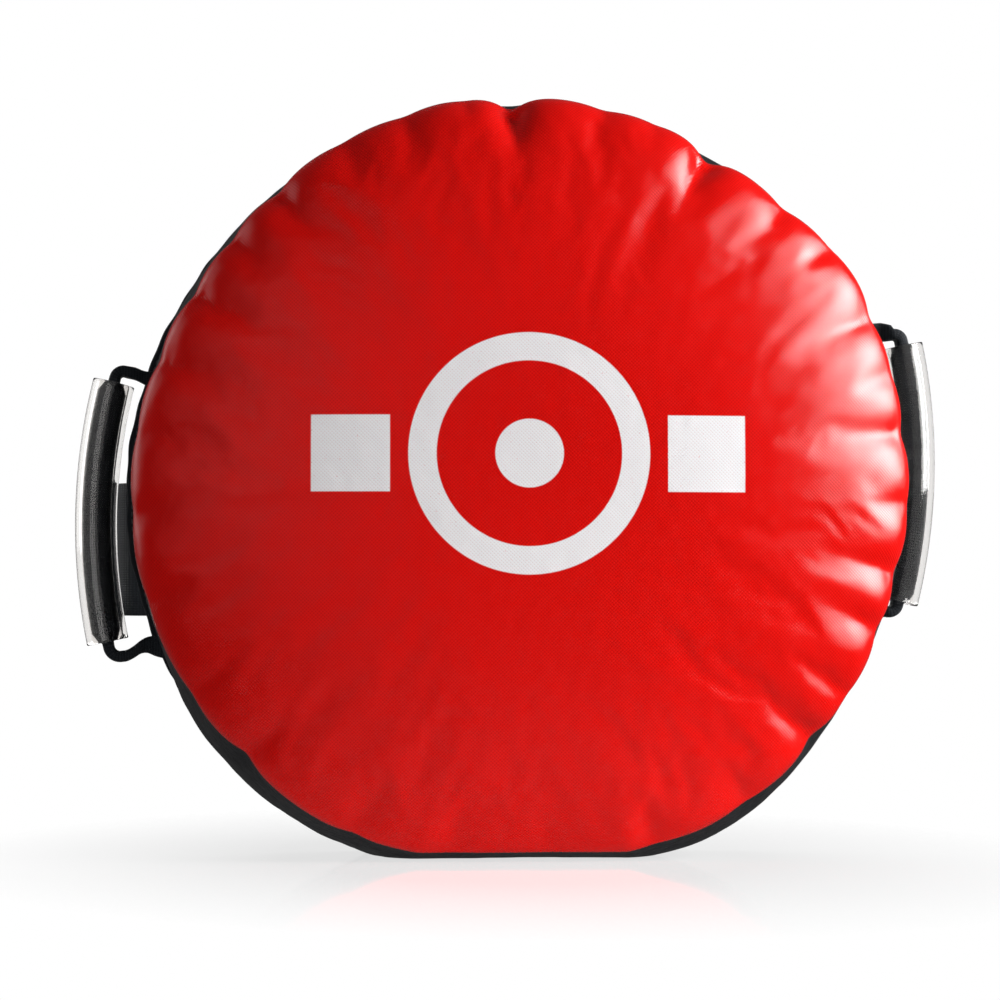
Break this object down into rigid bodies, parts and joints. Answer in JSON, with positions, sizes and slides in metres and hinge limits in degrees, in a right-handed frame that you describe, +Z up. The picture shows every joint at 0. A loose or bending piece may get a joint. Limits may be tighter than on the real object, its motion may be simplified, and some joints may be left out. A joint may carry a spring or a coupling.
{
  "type": "trainer belly pad",
  "caption": "Round thick punch shield with a domed face, layered foam filling, a sleeved webbing grip at each side and a wide closing strap across the back.",
  "frame": {"origin": "on the floor plane under the flattened bottom, at half the side wall's depth and half the pad's width", "axes": "+X to the right as seen from the front, the striking face looks along -Y, +Z up"},
  "size_m": [0.4552, 0.2143, 0.3899],
  "materials": {
    "front_cover": "semi-gloss coated weave",
    "side_cover": "satin",
    "binding_tape": "satin",
    "wadding": "matte",
    "firm_foam": "matte",
    "soft_foam": "matte",
    "clear_sleeve": "clear gloss",
    "webbing": "ribbed satin",
    "strap_webbing": "ribbed satin",
    "loop_fastener": "fuzzy matte",
    "hook_fastener": "matte"
  },
  "bodies": {
    "pad": {"front_panel": "front_cover", "side_gusset": "side_cover", "rear_panel": "side_cover", "rear_binding": "binding_tape", "front_wadding": "wadding", "front_impact_foam": "firm_foam", "core_foam": "soft_foam", "rear_foam": "firm_foam", "left_webbing_ends": "webbing", "right_webbing_ends": "webbing", "left_strap": "strap_webbing", "right_strap_root": "strap_webbing", "loop_pad": "loop_fastener"},
    "left_handle": {"left_handle_webbing": "webbing"},
    "left_grip": {"left_grip_tube": "clear_sleeve"},
    "right_handle": {"right_handle_webbing": "webbing"},
    "right_grip": {"right_grip_tube": "clear_sleeve"},
    "flap": {"strap_flap": "strap_webbing", "hook_pad": "hook_fastener"}
  },
  "joints": [
    {"name": "left_handle_swing", "type": "hinge", "parent": "pad", "child": "left_handle", "pos_m": [-0.193, 0.0534, 0.18841], "axis": [0, 0, 1], "range_deg": [-8, 45]},
    {"name": "right_handle_swing", "type": "hinge", "parent": "pad", "child": "right_handle", "pos_m": [0.193, 0.0534, 0.18841], "axis": [0, 0, -1], "range_deg": [-8, 45]},
    {"name": "left_grip_slide", "type": "hinge", "parent": "left_handle", "child": "left_grip", "pos_m": [0.08943, 0.0534, 0.17151], "axis": [0, 1, 0], "range_deg": [-0.64, 0.64]},
    {"name": "right_grip_slide", "type": "hinge", "parent": "right_handle", "child": "right_grip", "pos_m": [-0.08943, 0.0534, 0.20532], "axis": [0, -1, 0], "range_deg": [-0.64, 0.64]},
    {"name": "strap_flap_peel", "type": "hinge", "parent": "pad", "child": "flap", "pos_m": [0.15, 0.10106, 0.15841], "axis": [0, 0, -1], "range_deg": [0, 110]}
  ]
}
